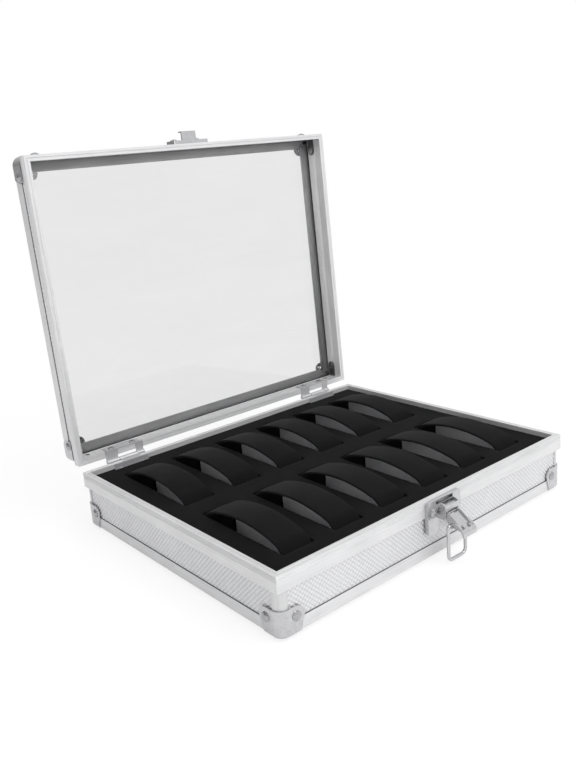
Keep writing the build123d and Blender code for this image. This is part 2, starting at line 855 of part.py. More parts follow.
def build_base():
    holes = cap_holes(base_cap_along, base_cap_rise, cap_proud + panel_back)
    latch_holes = latch_rivet_holes(base_height - base_latch_rivet_drop)
    spans = list(knuckle_spans())
    for side in side_turns:
        panel = drilled(base_panel(side), holes)
        bar = rim(side, base_height, base_rim_drop)
        if side == "front":
            panel = drilled(panel, latch_holes)
            bar = drilled(bar, latch_holes)
        if side == "back":
            bar = drilled(bar, list(leaf_notches(spans[1:2])) + hinge_screw_holes(-1))
        save(f"base_panel_{side}", stand(panel))
        save(f"base_rim_{side}", stand(bar))
        save(f"base_edge_{side}", stand(edge(side, base_edge_height, base_edge_flange)))
    save("base_panel_bottom", stand(drilled(bottom_panel(), holes)))
    save("base_corner_posts", *[stand(post) for post in four_corners(corner_post())])
    cap = corner_cap(base_cap_along, base_cap_rise, base_cap_lobe, base_cap_foot)
    cap = drilled(cap, holes)
    for name, piece in zip(("front_left", "front_right", "back_left", "back_right"), four_corners(cap)):
        save(f"base_cap_{name}", stand(piece))
    front_place, side_place, foot_place = cap_rivet_places(base_cap_along, base_cap_rise)
    wall_rivet = rivet(cap_proud + panel_back)
    rivets = four_corners(front_place * wall_rivet) + four_corners(side_place * wall_rivet)
    rivets += four_corners(foot_place * foot_rivet(cap_sheet + base_floor_top))
    rivets += latch_rivets(base_height - base_latch_rivet_drop)
    save("base_rivets", *[stand(piece) for piece in rivets])


def build_insert():
    save("foam_insert", stand(foam_insert()))
    save("foam_pad", stand(foam_pad()))
    band = pillow()
    for row, number, x, y in pocket_centres():
        save(f"pillow_{row}_{number}", stand(Pos(x, y, 0) * band))


def build_lid():
    holes = cap_holes(lid_cap_along, lid_cap_rise, cap_proud + panel_back + bracket_thickness)
    latch_holes = latch_rivet_holes(base_height + lid_latch_rivet_rise)
    spans = list(knuckle_spans())
    for side in side_turns:
        bar = Pos(0, 0, closed_height) * mirror(rim(side, lid_height, lid_rim_drop), about=Plane.XY)
        if side == "back":
            bar = drilled(bar, list(leaf_notches([spans[0], spans[2]])) + hinge_screw_holes(1))
        save(f"lid_rim_{side}", swing_open(bar))
        flange = drilled(edge(side, lid_edge_height, lid_edge_flange), holes)
        save(f"lid_edge_{side}", open_lid(flange))
    strips = [mirror(drilled(strip, holes), about=Plane.XY) for strip in lid_panels()]
    strips = [Pos(0, 0, closed_height) * strip for strip in strips]
    save("lid_panels", *[swing_open(drilled(strip, latch_holes)) for strip in strips])
    save("lid_window", open_lid(drilled(window(), holes)))
    save("lid_gasket", open_lid(gasket()))
    cap = drilled(corner_cap(lid_cap_along, lid_cap_rise, lid_cap_lobe, lid_cap_foot), holes)
    for name, piece in zip(("front_left", "front_right", "back_left", "back_right"), four_corners(cap)):
        save(f"lid_cap_{name}", open_lid(piece))
    plates = four_corners(drilled(bracket(), holes))
    save("lid_brackets", *[open_lid(plate) for plate in plates])
    front_place, side_place, face_place = cap_rivet_places(lid_cap_along, lid_cap_rise)
    end_rivet = rivet(cap_proud + panel_back + bracket_thickness, tail=True)
    rivets = four_corners(front_place * rivet(cap_proud + panel_back))
    rivets += four_corners(side_place * end_rivet)
    rivets += four_corners(face_place * rivet(cap_sheet + window_back))
    placed = [open_lid(piece) for piece in rivets]
    placed += [swing_open(piece) for piece in latch_rivets(base_height + lid_latch_rivet_rise)]
    save("lid_rivets", *placed)


def build_hinges():
    spans = list(knuckle_spans())
    halves = (("base", spans[1:2], -1, stand), ("lid", [spans[0], spans[2]], 1, swing_open))
    for half, used, direction, move in halves:
        screw_holes = hinge_screw_holes(direction)
        plates = [drilled(plate, screw_holes) for plate in both_hinges(leaf(used, direction))]
        save(f"hinge_{half}_leaves", *[move(plate) for plate in plates])
        one_screw = screw(leaf_thickness + rim_inner_wall)
        screws = [
            copy for place in hinge_screw_places(direction) for copy in both_hinges(place * one_screw)]
        save(f"hinge_{half}_screws", *[move(piece) for piece in screws])
    save("hinge_pins", *[stand(pin) for pin in both_hinges(hinge_pin())])


def build_latch():
    save("latch_base_plate", stand(latch_base_plate()))
    pin = across(latch_pin_radius, ear_outer_x, latch_pivot_y, latch_pivot_z)
    save("latch_pin", stand(pin))
    save("latch_catch_plate", swing_open(latch_catch_plate()))
    save("latch_lever", stand(lift_lever(lever())))
    save("latch_bail", stand(bail()))


build_base()
build_insert()
build_lid()
build_hinges()
build_latch()
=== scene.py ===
"""Dresses the watch display case: metal finishes, embossed walls, foam insert, pillows and studio.

Run as a script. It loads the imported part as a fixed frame, then runs one operator for each group of
pieces. Lengths are in metres, in the frame of the part. A closed height or inset is measured on the
closed case, from the underside of the base's edge sections and from the outer face of the rims."""

import json
import math
import random

import bmesh
import bpy
from bpy.props import FloatProperty, FloatVectorProperty, IntProperty, PointerProperty
from mathutils import Matrix, Vector, noise


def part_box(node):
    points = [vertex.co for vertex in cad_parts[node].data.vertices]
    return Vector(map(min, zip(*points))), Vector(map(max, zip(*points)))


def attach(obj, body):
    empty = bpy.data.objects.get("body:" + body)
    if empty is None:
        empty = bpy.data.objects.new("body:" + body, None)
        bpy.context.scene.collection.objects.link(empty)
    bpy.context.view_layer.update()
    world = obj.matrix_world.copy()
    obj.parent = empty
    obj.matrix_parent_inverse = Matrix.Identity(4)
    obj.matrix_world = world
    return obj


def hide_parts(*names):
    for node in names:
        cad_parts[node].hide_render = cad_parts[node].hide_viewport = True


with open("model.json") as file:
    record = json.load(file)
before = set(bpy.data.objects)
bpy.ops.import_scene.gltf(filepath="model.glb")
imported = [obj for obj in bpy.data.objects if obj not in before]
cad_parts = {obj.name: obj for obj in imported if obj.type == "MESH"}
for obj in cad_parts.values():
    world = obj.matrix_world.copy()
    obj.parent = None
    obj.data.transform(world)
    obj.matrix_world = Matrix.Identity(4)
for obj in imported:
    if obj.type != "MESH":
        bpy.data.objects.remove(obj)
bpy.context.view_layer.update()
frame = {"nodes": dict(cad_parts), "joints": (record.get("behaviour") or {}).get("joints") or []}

bl_info = {
    "name": "Watch Display Case",
    "version": (1, 0, 0),
    "blender": (4, 5, 0),
    "location": "View3D > Sidebar > Watch Case",
    "description": "Finishes, embossed walls, foam insert, watch pillows and studio for the case",
    "category": "Object",
}

JOINTS = {joint["name"]: joint for joint in frame["joints"]}

# Sizes shared with the frame, in metres
WIDTH = 0.250
DEPTH = 0.204
PANEL_INSET = 0.0012
EDGE_TOP = 0.007
EDGE_END_GAP = 0.0064
RIM_LOW = 0.026
LID_STRIP_LOW = 0.0425
LID_STRIP_TOP = 0.0475
FOAM_INSET = 0.0041
FOAM_TOP = 0.033
FOAM_FLOOR = 0.008
PAD_LOW = 0.0028
POCKET_WIDTH = 0.022
POCKET_LENGTH = 0.075
VELVET_ROLL = 0.002
BACK_LAP = 0.0025
FRONT_LAP = 0.0085
PILLOW_THICKNESS = 0.0018
PILLOW_CROWN_RADIUS = 0.097
PILLOW_SHOULDER_RADIUS = 0.0114
PILLOW_APEX = 0.0415
PILLOW_GAP = 0.0003
RELIEF_HALF_WIDTH = 0.0135
RELIEF_DEPTH = 0.0018
HINGE_X = 0.090
RIVET_CLEARANCE = 0.0028
BASE_RIVET_FROM_END = 0.0108
BASE_RIVET_HEIGHT = 0.0095
LID_RIVET_FROM_END = 0.0124
LID_RIVET_HEIGHT = 0.0474

# Form of the studs, the foam and the pillows
STUD_TOP_SHARE = 0.45
STUD_SIDES = 8
FOAM_STEP = 0.006
SOFT_EDGE_SEGMENTS = 4
SHARP_ANGLE = math.radians(40)
SECTION_PARTS = 8

# Unevenness of the foam and the pillows, in waves per metre
SWELLS = 28
RIPPLES_ACROSS = 90
RIPPLES_ALONG = 60

# Grain of the finishes, in features per metre
CLOUDS = 45.0
PEBBLES = 4000.0
TUFTS = 2800.0
BRUSH_STROKES = 55.0
FOAM_CELLS = 2500.0
FOAM_PATCHES = 90.0
PAPER_GRAINS = 900.0

# Weight of the broader grain beside the fine one
CLOUD_SHARE = 0.4
BRUSH_SHARE = 0.7
FOAM_PATCH_SHARE = 0.5

# How many times longer than wide a metal's marks are, along X, Y and Z
EVEN = (1, 1, 1)
DIE_RUN = 40
SHEET_RUN = 30

# Studio, in metres, with the camera's frame in millimetres
KEY_PLACE = (0.25, -0.9, 1.2)
KEY_SIZE = 0.9
FILL_PLACE = (-0.85, -0.6, 0.4)
FILL_SIZE = 0.4
LAMP_AIM = (0, 0, 0.08)
FLOOR_REACH = 6.0
SHADOW_FADE = (0.15, 0.55)
SHADOW_SHARE = 0.2
BRIGHT_SIDE = (0.5, -0.45, 0.74)
FRAME_MM = 36.0
NEAREST_SEEN = 0.01

BASE_LOW, BASE_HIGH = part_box("base_panel_bottom")
BASE_MIDDLE_Y = (BASE_LOW[1] + BASE_HIGH[1]) / 2
GROUND_TO_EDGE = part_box("base_edge_front")[0][2]
LID_JOINT = JOINTS["lid_hinge"]
LID_PIVOT = Vector(LID_JOINT["pos_m"])
LID_ANGLE = math.radians(LID_JOINT["range_deg"][1])
ROWS = ("front", "back")
COLUMNS = range(1, 7)


def linear(text):
    """An sRGB hex colour as linear red, green, blue and a full alpha."""
    parts = [int(text[start:start + 2], 16) / 255 for start in (1, 3, 5)]
    return tuple(
        part / 12.92 if part <= 0.04045 else ((part + 0.055) / 1.055) ** 2.4 for part in parts
    ) + (1.0,)


def shade(colour, share):
    """A linear colour made darker or lighter, with full alpha."""
    return tuple(min(1.0, part * share) for part in colour) + (1.0,)


def stand_matrix():
    """From the base's own place, centred on its underside, to the part's frame."""
    return Matrix.Translation((0, BASE_MIDDLE_Y, GROUND_TO_EDGE))


def open_lid_matrix():
    """From the closed case's own place to the open lid's place in the part's frame."""
    turn = Matrix.Rotation(-LID_ANGLE, 4, "X")
    about = Matrix.Translation(LID_PIVOT)
    return about @ turn @ about.inverted() @ stand_matrix()


# Nodes and materials


def add_node(tree, kind, settings=None, sockets=None):
    """Adds one node, sets its properties, and gives each named input a value or a link."""
    node = tree.nodes.new(kind)
    for name, value in (settings or {}).items():
        setattr(node, name, value)
    for key, value in (sockets or {}).items():
        if isinstance(value, bpy.types.NodeSocket):
            tree.links.new(value, node.inputs[key])
        else:
            node.inputs[key].default_value = value
    return node


def maths(tree, operation, *values):
    """The result of one maths node on numbers or links."""
    node = add_node(tree, "ShaderNodeMath", {"operation": operation}, dict(enumerate(values)))
    return node.outputs["Value"]


def map_range(tree, value, start, end, low, high, **settings):
    """The value's stretch from start to end, spread between low and high."""
    node = add_node(tree, "ShaderNodeMapRange", settings, {
        "Value": value, "From Min": start, "From Max": end, "To Min": low, "To Max": high})
    return node.outputs["Result"]


def object_place(tree):
    """The place on the object, in metres."""
    return add_node(tree, "ShaderNodeTexCoord").outputs["Object"]


def noise_at(tree, place, scale, **sockets):
    """Noise with so many features per metre, or per unit of a scaled place."""
    node = add_node(tree, "ShaderNodeTexNoise", None, {"Vector": place, "Scale": scale, **sockets})
    return node.outputs["Fac"]


def two_tones(tree, amount, dark, light, start=0.0, end=1.0):
    """The dark tone where the amount is at start, blended to the light one at end."""
    tone = add_node(tree, "ShaderNodeValToRGB", None, {"Fac": amount})
    first, last = tone.color_ramp.elements
    first.position, first.color = start, dark
    last.position, last.color = end, light
    return tone.outputs["Color"]


def bumped(tree, height, strength, depth, **settings):
    """The surface's direction, tilted by a height of that depth in metres."""
    node = add_node(tree, "ShaderNodeBump", settings, {
        "Height": height, "Strength": strength, "Distance": depth})
    return node.outputs["Normal"]


def new_surface(name):
    """An empty node material of that name, with its tree."""
    material = bpy.data.materials.new(name)
    material.use_nodes = True
    material.node_tree.nodes.clear()
    return material, material.node_tree


def finish_surface(tree, sockets):
    """Sends the named values and links through one shader to the material's output."""
    shader = add_node(tree, "ShaderNodeBsdfPrincipled", None, sockets)
    add_node(tree, "ShaderNodeOutputMaterial", None, {"Surface": shader.outputs["BSDF"]})


def metal(name, colour, roughness, spacing, depth, run=EVEN, lean=0.0, bare=1.0):
    """A worked metal. Marks lie spacing apart and run times as far along the object's X, Y or Z.
    A broad cloud of about 22 mm varies the tone a little, as handling and plating do. Where bare is
    less than one, the rest of the light is scattered by a milky skin on the metal."""
    material, tree = new_surface(name)
    place = object_place(tree)
    mapping = add_node(tree, "ShaderNodeMapping", None, {
        "Vector": place, "Rotation": (lean, 0, 0), "Scale": [1 / spacing / part for part in run]})
    marks = noise_at(tree, mapping.outputs["Vector"], 1.0, Detail=3.0, Roughness=0.6)
    cloud = noise_at(tree, place, CLOUDS, Detail=2.0)
    blend = maths(tree, "MULTIPLY_ADD", cloud, CLOUD_SHARE, marks)
    finish_surface(tree, {
        "Base Color": two_tones(tree, blend, shade(colour, 0.86), shade(colour, 1.08), start=0.35),
        "Metallic": bare,
        "Roughness": map_range(tree, blend, 0.35, 1.05, roughness * 1.25, roughness * 0.8),
        "Normal": bumped(tree, marks, 0.5, depth)})
    return material


def drawn_aluminium(colour, run_name, run, lean=0.0):
    """Anodised extrusion: pale and milky, with fine lines that follow the die along its length.
    The real lines are about 0.1 mm apart and are drawn 0.7 mm apart, so that they show."""
    return metal(f"anodised_aluminium_{run_name}", colour, roughness=0.44, spacing=0.0007,
                 depth=4e-6, run=run, lean=lean, bare=0.45)


def wall_sheet(colour):
    """The flat of the embossed sheet between its studs: rougher, because nothing rubs it, and darker
    than the studs as painted shade in the hollows between them.
    """
    return metal("shaded_aluminium_sheet", colour, roughness=0.5, spacing=0.0006, depth=4e-6,
                 bare=0.6)


def stud_tops(colour):
    """The embossed studs: lighter than the sheet as a painted highlight on their tops, with a fine tooth
    of about 0.5 mm from the roll.
    """
    return metal("embossed_aluminium_studs", colour, roughness=0.36, spacing=0.0005, depth=2e-6,
                 bare=0.6)


def lid_sheet(colour):
    """Strip of the lid's walls with a soft shine: paler than the rails round it, partly as its own
    finish and partly as painted light for the dim side that it faces.
    """
    return metal("mill_aluminium_strip", shade(colour, 1.55)[:3], roughness=0.24, spacing=0.0009,
                 depth=3e-6, bare=0.3)


def bottom_sheet(colour):
    """Mill-finish sheet under the case: rolled along its length, greyer and rougher."""
    return metal("mill_aluminium_sheet", shade(colour, 0.8)[:3], roughness=0.42, spacing=0.0008,
                 depth=6e-6, run=(SHEET_RUN, 1, 1))


def pressed_nickel(name, colour, roughness, bare=1.0):
    """Nickel-plated pressed steel: a soft ripple from the press, 4 mm across, under the plating."""
    return metal(name, colour, roughness, spacing=0.004, depth=8e-6, bare=bare)


def rivet_steel(colour):
    """Plated steel rivets: greyer than the sheet round them, and set with a smooth punch."""
    return metal("nickel_plated_rivets", colour, roughness=0.24, spacing=0.0012, depth=4e-6)


def zinc_screws(colour):
    """Bright zinc plate on small screws, a little cloudy."""
    return metal("zinc_plate", colour, roughness=0.26, spacing=0.0008, depth=3e-6)


def shaded_nickel(colour):
    """Nickel plate on pressed brackets, darkened to a middle grey as painted shade inside the lid, with
    a dull shine.
    """
    return metal("shaded_nickel_plate", colour, roughness=0.3, spacing=0.0015, depth=6e-6)


def rubber(name):
    """Black rubber, as moulded for the gasket: matt, with a fine pebble of 0.25 mm. It also makes the
    painted shadow line in the joints of the walls.
    """
    material, tree = new_surface(name)
    pebble = noise_at(tree, object_place(tree), PEBBLES, Detail=2.0)
    finish_surface(tree, {
        "Base Color": two_tones(tree, pebble, linear("#141416"), linear("#252528")),
        "Roughness": 0.62, "IOR": 1.52, "Normal": bumped(tree, pebble, 0.4, 3e-5)})
    return material


def clear_acrylic():
    """Cast acrylic sheet: clear, with a faint haze where it has been wiped."""
    material, tree = new_surface("clear_acrylic")
    mapping = add_node(tree, "ShaderNodeMapping", None, {
        "Vector": object_place(tree), "Rotation": (0.3, 0.2, 0.5), "Scale": (10, 10, 40)})
    wipe = noise_at(tree, mapping.outputs["Vector"], 1.0, Detail=5.0, Roughness=0.65)
    # The grey tint of the sheet is painted shade: it darkens the view through it, as the grey studio
    # that the real sheet reflects does.
    finish_surface(tree, {
        "Base Color": two_tones(tree, wipe, linear("#e3e3e3"), linear("#ececec")),
        "Roughness": map_range(tree, wipe, 0.45, 0.75, 0.0, 0.06), "IOR": 1.49,
        "Specular Tint": linear("#9a9a9a"), "Transmission Weight": 1.0})
    return material


def velvet(name, colour, sheen):
    """Black flocked velvet: a deep pile that lightens at a glancing view, in brushed patches.
    The real pile is about 0.05 mm across and is drawn at 0.35 mm, so that it shows."""
    material, tree = new_surface(name)
    place = object_place(tree)
    fibre = noise_at(tree, place, TUFTS, Detail=3.0, Roughness=0.7)
    brushed = noise_at(tree, place, BRUSH_STROKES, Detail=3.0, Distortion=0.6)
    mixed = maths(tree, "MULTIPLY_ADD", brushed, BRUSH_SHARE, fibre)
    finish_surface(tree, {
        "Base Color": two_tones(tree, mixed, shade(colour, 0.6), shade(colour, 1.6), start=0.45),
        "Roughness": 0.95, "IOR": 1.45, "Specular IOR Level": 0.1, "Sheen Weight": sheen,
        "Sheen Roughness": 0.5, "Sheen Tint": linear("#7e7e80"),
        "Normal": bumped(tree, fibre, 0.6, 8e-5)})
    return material


def cut_foam(colour):
    """Grey polyurethane foam, cut with a knife: open cells of about 0.4 mm on the cut face. Its colour
    is much paler than the real charcoal foam, as painted light on the shaded pocket walls.
    """
    material, tree = new_surface("grey_foam")
    place = object_place(tree)
    cells = add_node(tree, "ShaderNodeTexVoronoi", {"feature": "F1"}, {
        "Vector": place, "Scale": FOAM_CELLS}).outputs["Distance"]
    patch = noise_at(tree, place, FOAM_PATCHES, Detail=3.0)
    mixed = maths(tree, "MULTIPLY_ADD", patch, FOAM_PATCH_SHARE, cells)
    finish_surface(tree, {
        "Base Color": two_tones(
            tree, mixed, shade(colour, 0.8), shade(colour, 1.25), start=0.2, end=0.9),
        "Roughness": 0.9, "IOR": 1.5, "Normal": bumped(tree, cells, 0.5, 1e-4, invert=True)})
    return material


# Pieces


def paint(material, *names):
    """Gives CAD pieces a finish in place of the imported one."""
    for name in names:
        mesh = frame["nodes"][name].data
        mesh.materials.clear()
        mesh.materials.append(material)


def make_piece(name, mesh, body):
    """A new piece at the origin that rides on a body and takes a material slot's finish."""
    piece = bpy.data.objects.new(name, mesh)
    bpy.context.scene.collection.objects.link(piece)
    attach(piece, body)
    return piece


def plain_mesh(name, source):
    """The evaluated mesh of an object, which is then removed with its modifiers."""
    bpy.context.view_layer.update()
    graph = bpy.context.evaluated_depsgraph_get()
    mesh = bpy.data.meshes.new_from_object(source.evaluated_get(graph), depsgraph=graph)
    mesh.name = name
    old = source.data
    bpy.data.objects.remove(source)
    bpy.data.meshes.remove(old)
    return mesh


def free_to_mesh(name, mesh):
    """A Blender mesh from an edit mesh, which is then freed."""
    data = bpy.data.meshes.new(name)
    mesh.to_mesh(data)
    mesh.free()
    return data


def sheet_with_holes(mesh, across, along, high, holes):
    """A level sheet of squares between the given marks, left out where a hole is."""
    corners = [[mesh.verts.new((x, y, high)) for y in along] for x in across]
    for i in range(len(across) - 1):
        for j in range(len(along) - 1):
            x = (across[i] + across[i + 1]) / 2
            y = (along[j] + along[j + 1]) / 2
            if any(x0 < x < x1 and y0 < y < y1 for x0, x1, y0, y1 in holes):
                continue
            mesh.faces.new((corners[i][j], corners[i + 1][j], corners[i + 1][j + 1], corners[i][j + 1]))
    loose = [vertex for vertex in mesh.verts if not vertex.link_faces]
    bmesh.ops.delete(mesh, geom=loose, context="VERTS")


def soft_block(name, low, high, holes, group):
    """A foam block that fills the base, with square holes through it and soft, uneven edges."""
    half_x = WIDTH / 2 - FOAM_INSET
    half_y = DEPTH / 2 - FOAM_INSET
    marks_x = {-half_x, half_x}
    marks_y = {-half_y, half_y}
    for x0, x1, y0, y1 in holes:
        marks_x |= {x0, x1}
        marks_y |= {y0, y0 + BACK_LAP, y1 - BACK_LAP, y1}
    mesh = bmesh.new()
    sheet_with_holes(mesh, fill_steps(marks_x, FOAM_STEP), fill_steps(marks_y, FOAM_STEP), high, holes)
    lowered = bmesh.ops.extrude_face_region(mesh, geom=mesh.faces[:], use_keep_orig=True)
    under = [item for item in lowered["geom"] if isinstance(item, bmesh.types.BMVert)]
    bmesh.ops.translate(mesh, verts=under, vec=(0, 0, low - high))
    bmesh.ops.recalc_face_normals(mesh, faces=mesh.faces[:])
    block = bpy.data.objects.new(name, free_to_mesh(name, mesh))
    bpy.context.scene.collection.objects.link(block)
    soften = block.modifiers.new("soften", "BEVEL")
    soften.width = group.rounding
    soften.segments = SOFT_EDGE_SEGMENTS
    soften.limit_method = "ANGLE"
    soften.angle_limit = SHARP_ANGLE
    data = plain_mesh(name, block)
    for vertex in data.vertices:
        if vertex.co.z > high - group.rounding / 2:
            wave = noise.noise(vertex.co * SWELLS)
            vertex.co.z -= group.swell * (0.5 + 0.5 * wave)
    return data


def fill_steps(marks, step):
    """Sorted marks with evenly spaced values added where they lie further apart than a step."""
    ordered = sorted(marks)
    filled = []
    for start, end in zip(ordered, ordered[1:]):
        count = max(1, math.ceil((end - start) / step))
        filled += [start + (end - start) * part / count for part in range(count)]
    return filled + [ordered[-1]]


def pocket_centres(group):
    """Row, number and middle of each pocket in the foam."""
    for row, side in zip(ROWS, (-0.5, 0.5)):
        for number in COLUMNS:
            yield row, number, (number - 3.5) * group.pitch_across, side * group.pitch_along


def pillow_line(part_count):
    """Points and outward directions along the upper outline of a pillow, from foot to foot."""
    half = POCKET_LENGTH / 2 - PILLOW_GAP
    foot = FOAM_FLOOR + PILLOW_GAP
    crown_middle = PILLOW_APEX - PILLOW_CROWN_RADIUS
    reach = PILLOW_CROWN_RADIUS - PILLOW_SHOULDER_RADIUS
    shoulder_y = half - PILLOW_SHOULDER_RADIUS
    shoulder_z = crown_middle + math.sqrt(reach**2 - shoulder_y**2)
    lean = math.asin(shoulder_y / reach)
    line = []
    for part in range(part_count):
        line.append((half, foot + (shoulder_z - foot) * part / part_count, math.pi / 2))
    for part in range(part_count):
        angle = math.pi / 2 + (lean - math.pi / 2) * part / part_count
        line.append((shoulder_y + PILLOW_SHOULDER_RADIUS * math.sin(angle),
                     shoulder_z + PILLOW_SHOULDER_RADIUS * math.cos(angle), angle))
    for part in range(part_count + 1):
        angle = lean * (1 - part / part_count)
        line.append((PILLOW_CROWN_RADIUS * math.sin(angle),
                     crown_middle + PILLOW_CROWN_RADIUS * math.cos(angle), angle))
    return line + [(-y, z, -angle) for y, z, angle in reversed(line[:-1])]


def pillow_section(width, crown, edge, part_count):
    """Section of a pillow as (across, depth) points: crowned above, flat below, full round edges."""
    half = width / 2
    points = []
    for part in range(part_count + 1):
        across = (half - edge) * (1 - 2 * part / part_count)
        points.append((across, crown * (across / half) ** 2))
    for side in (-1, 1):
        low = PILLOW_THICKNESS
        high = crown * ((half - edge) / half) ** 2
        middle = (low + high) / 2
        radius = (low - high) / 2
        for part in range(1, part_count):
            angle = math.pi * part / part_count
            across = half - edge + edge * math.sin(angle)
            depth = middle - radius * math.cos(angle)
            points.append((side * across, depth if side < 0 else 2 * middle - depth))
        if side < 0:
            for step in range(part_count + 1):
                points.append(((half - edge) * (2 * step / part_count - 1), low))
    return points


def pillow_mesh(name, x, y, group, seed):
    """One arched pillow, slightly uneven as a hand-covered one is."""
    chance = random.Random(seed)
    phase = chance.uniform(0, 10)
    line = pillow_line(group.parts)
    section = pillow_section(group.width, group.crown, group.edge, SECTION_PARTS)
    mesh = bmesh.new()
    rings = []
    for along, height, angle in line:
        out_y, out_z = math.sin(angle), math.cos(angle)
        ring = []
        for across, depth in section:
            ripple = noise.noise(Vector((
                across * RIPPLES_ACROSS, along * RIPPLES_ALONG + phase, height * RIPPLES_ALONG)))
            inset = depth + group.ripple * (0.5 + 0.5 * ripple)
            inset = min(inset, PILLOW_THICKNESS) if depth < PILLOW_THICKNESS else depth
            ring.append(mesh.verts.new((x + across, y + along - inset * out_y, height - inset * out_z)))
        rings.append(ring)
    count = len(section)
    for first, second in zip(rings, rings[1:]):
        for k in range(count):
            mesh.faces.new((first[k], second[k], second[(k + 1) % count], first[(k + 1) % count]))
    mesh.faces.new(rings[0])
    mesh.faces.new(list(reversed(rings[-1])))
    bmesh.ops.recalc_face_normals(mesh, faces=mesh.faces[:])
    for face in mesh.faces:
        face.smooth = len(face.verts) == 4
    return free_to_mesh(name, mesh)


def point_at(tree, **parts):
    """A point from its X, Y and Z, each a number or a link."""
    return add_node(tree, "ShaderNodeCombineXYZ", None, parts).outputs["Vector"]


def place_parts(tree):
    """X, Y and Z of a point's place."""
    place = add_node(tree, "GeometryNodeInputPosition").outputs["Position"]
    return add_node(tree, "ShaderNodeSeparateXYZ", None, {"Vector": place}).outputs


def stud_points(tree, given, length, row_count, half_pitch):
    """Points of one wall: rows half a pitch apart, each other one moved along by half a pitch."""
    rise = maths(tree, "MULTIPLY", row_count, half_pitch)
    room = maths(tree, "MULTIPLY_ADD", given["Corner Gap"], -2.0, length)
    column_count = maths(tree, "FLOOR", maths(tree, "DIVIDE", room, given["Pitch"]))
    grid = add_node(tree, "GeometryNodeMeshGrid", None, {
        "Size X": maths(tree, "MULTIPLY", column_count, given["Pitch"]), "Size Y": rise,
        "Vertices X": maths(tree, "ADD", column_count, 1.0),
        "Vertices Y": maths(tree, "ADD", row_count, 1.0)})
    from_foot = maths(tree, "MULTIPLY_ADD", rise, 0.5, place_parts(tree)["Y"])
    row_pair = maths(tree, "ADD", maths(tree, "DIVIDE", from_foot, given["Pitch"]), 0.25)
    odd_row = maths(tree, "GREATER_THAN", maths(tree, "FRACT", row_pair), 0.5)
    return add_node(tree, "GeometryNodeSetPosition", None, {
        "Geometry": grid.outputs["Mesh"],
        "Offset": point_at(tree, X=maths(tree, "MULTIPLY", odd_row, half_pitch))})


def beside_rivet(tree, given, length, half_way):
    """Whether a point is too near the rivet at either end of the wall."""
    parts = place_parts(tree)
    stud_place = point_at(tree, X=maths(tree, "ABSOLUTE", parts["X"]), Y=parts["Y"])
    half_length = maths(tree, "DIVIDE", length, 2.0)
    rivet_place = point_at(
        tree, X=maths(tree, "SUBTRACT", half_length, given["Rivet From End"]),
        Y=maths(tree, "SUBTRACT", given["Rivet Height"], half_way))
    apart = add_node(tree, "ShaderNodeVectorMath", {"operation": "DISTANCE"}, {
        0: stud_place, 1: rivet_place})
    return maths(tree, "LESS_THAN", apart.outputs["Value"], given["Rivet Clearance"])


def stud_tree(material):
    """Geometry nodes that stand rows of blunt round studs on the four walls of the case."""
    tree = bpy.data.node_groups.new("embossed_studs", "GeometryNodeTree")
    lengths = ("Wall Width", "Wall Depth", "Corner Gap", "Band Bottom", "Band Top", "Inset", "Pitch",
               "Stud Size", "Stud Height", "Rivet From End", "Rivet Height", "Rivet Clearance")
    for name in lengths:
        tree.interface.new_socket(name, in_out="INPUT", socket_type="NodeSocketFloat")
    tree.interface.new_socket("Geometry", in_out="OUTPUT", socket_type="NodeSocketGeometry")
    given = add_node(tree, "NodeGroupInput").outputs
    half_pitch = maths(tree, "DIVIDE", given["Pitch"], 2.0)
    band = maths(tree, "SUBTRACT", given["Band Top"], given["Band Bottom"])
    row_count = maths(tree, "FLOOR", maths(tree, "DIVIDE", band, half_pitch))
    half_way = maths(tree, "DIVIDE", maths(tree, "ADD", given["Band Top"], given["Band Bottom"]), 2.0)
    stud = add_node(tree, "GeometryNodeMeshCone", {"fill_type": "NGON"}, {
        "Vertices": STUD_SIDES, "Radius Bottom": given["Stud Size"],
        "Radius Top": maths(tree, "MULTIPLY", given["Stud Size"], STUD_TOP_SHARE),
        "Depth": given["Stud Height"]})
    joined = add_node(tree, "GeometryNodeJoinGeometry")
    for turn, (length_name, reach_name) in enumerate((
            ("Wall Width", "Wall Depth"), ("Wall Depth", "Wall Width")) * 2):
        length = given[length_name]
        points = stud_points(tree, given, length, row_count, half_pitch)
        clear = add_node(tree, "GeometryNodeDeleteGeometry", {"domain": "POINT"}, {
            "Geometry": points.outputs["Geometry"],
            "Selection": beside_rivet(tree, given, length, half_way)})
        studded = add_node(tree, "GeometryNodeInstanceOnPoints", None, {
            "Points": clear.outputs["Geometry"], "Instance": stud.outputs["Mesh"]})
        half_reach = maths(tree, "DIVIDE", given[reach_name], -2.0)
        spot = point_at(tree, Y=maths(tree, "ADD", half_reach, given["Inset"]), Z=half_way)
        upright = add_node(tree, "GeometryNodeTransform", None, {
            "Geometry": studded.outputs["Instances"], "Rotation": (math.pi / 2, 0, 0),
            "Translation": spot})
        turned = add_node(tree, "GeometryNodeTransform", None, {
            "Geometry": upright.outputs["Geometry"], "Rotation": (0, 0, turn * math.pi / 2)})
        tree.links.new(turned.outputs["Geometry"], joined.inputs["Geometry"])
    real = add_node(tree, "GeometryNodeRealizeInstances", None, {"Geometry": joined.outputs["Geometry"]})
    dressed = add_node(tree, "GeometryNodeSetMaterial", None, {
        "Geometry": real.outputs["Geometry"], "Material": material})
    add_node(tree, "NodeGroupOutput", None, {"Geometry": dressed.outputs["Geometry"]})
    return tree


def studded_mesh(name, tree, values, place):
    """Runs the stud tree with the given sizes and returns its mesh in the part's frame."""
    holder = bpy.data.objects.new(name, bpy.data.meshes.new(name))
    bpy.context.scene.collection.objects.link(holder)
    studs = holder.modifiers.new("studs", "NODES")
    studs.node_group = tree
    identifiers = {item.name: item.identifier for item in tree.interface.items_tree}
    for key, value in values.items():
        studs[identifiers[key]] = value
    mesh = plain_mesh(name, holder)
    mesh.transform(place)
    return mesh


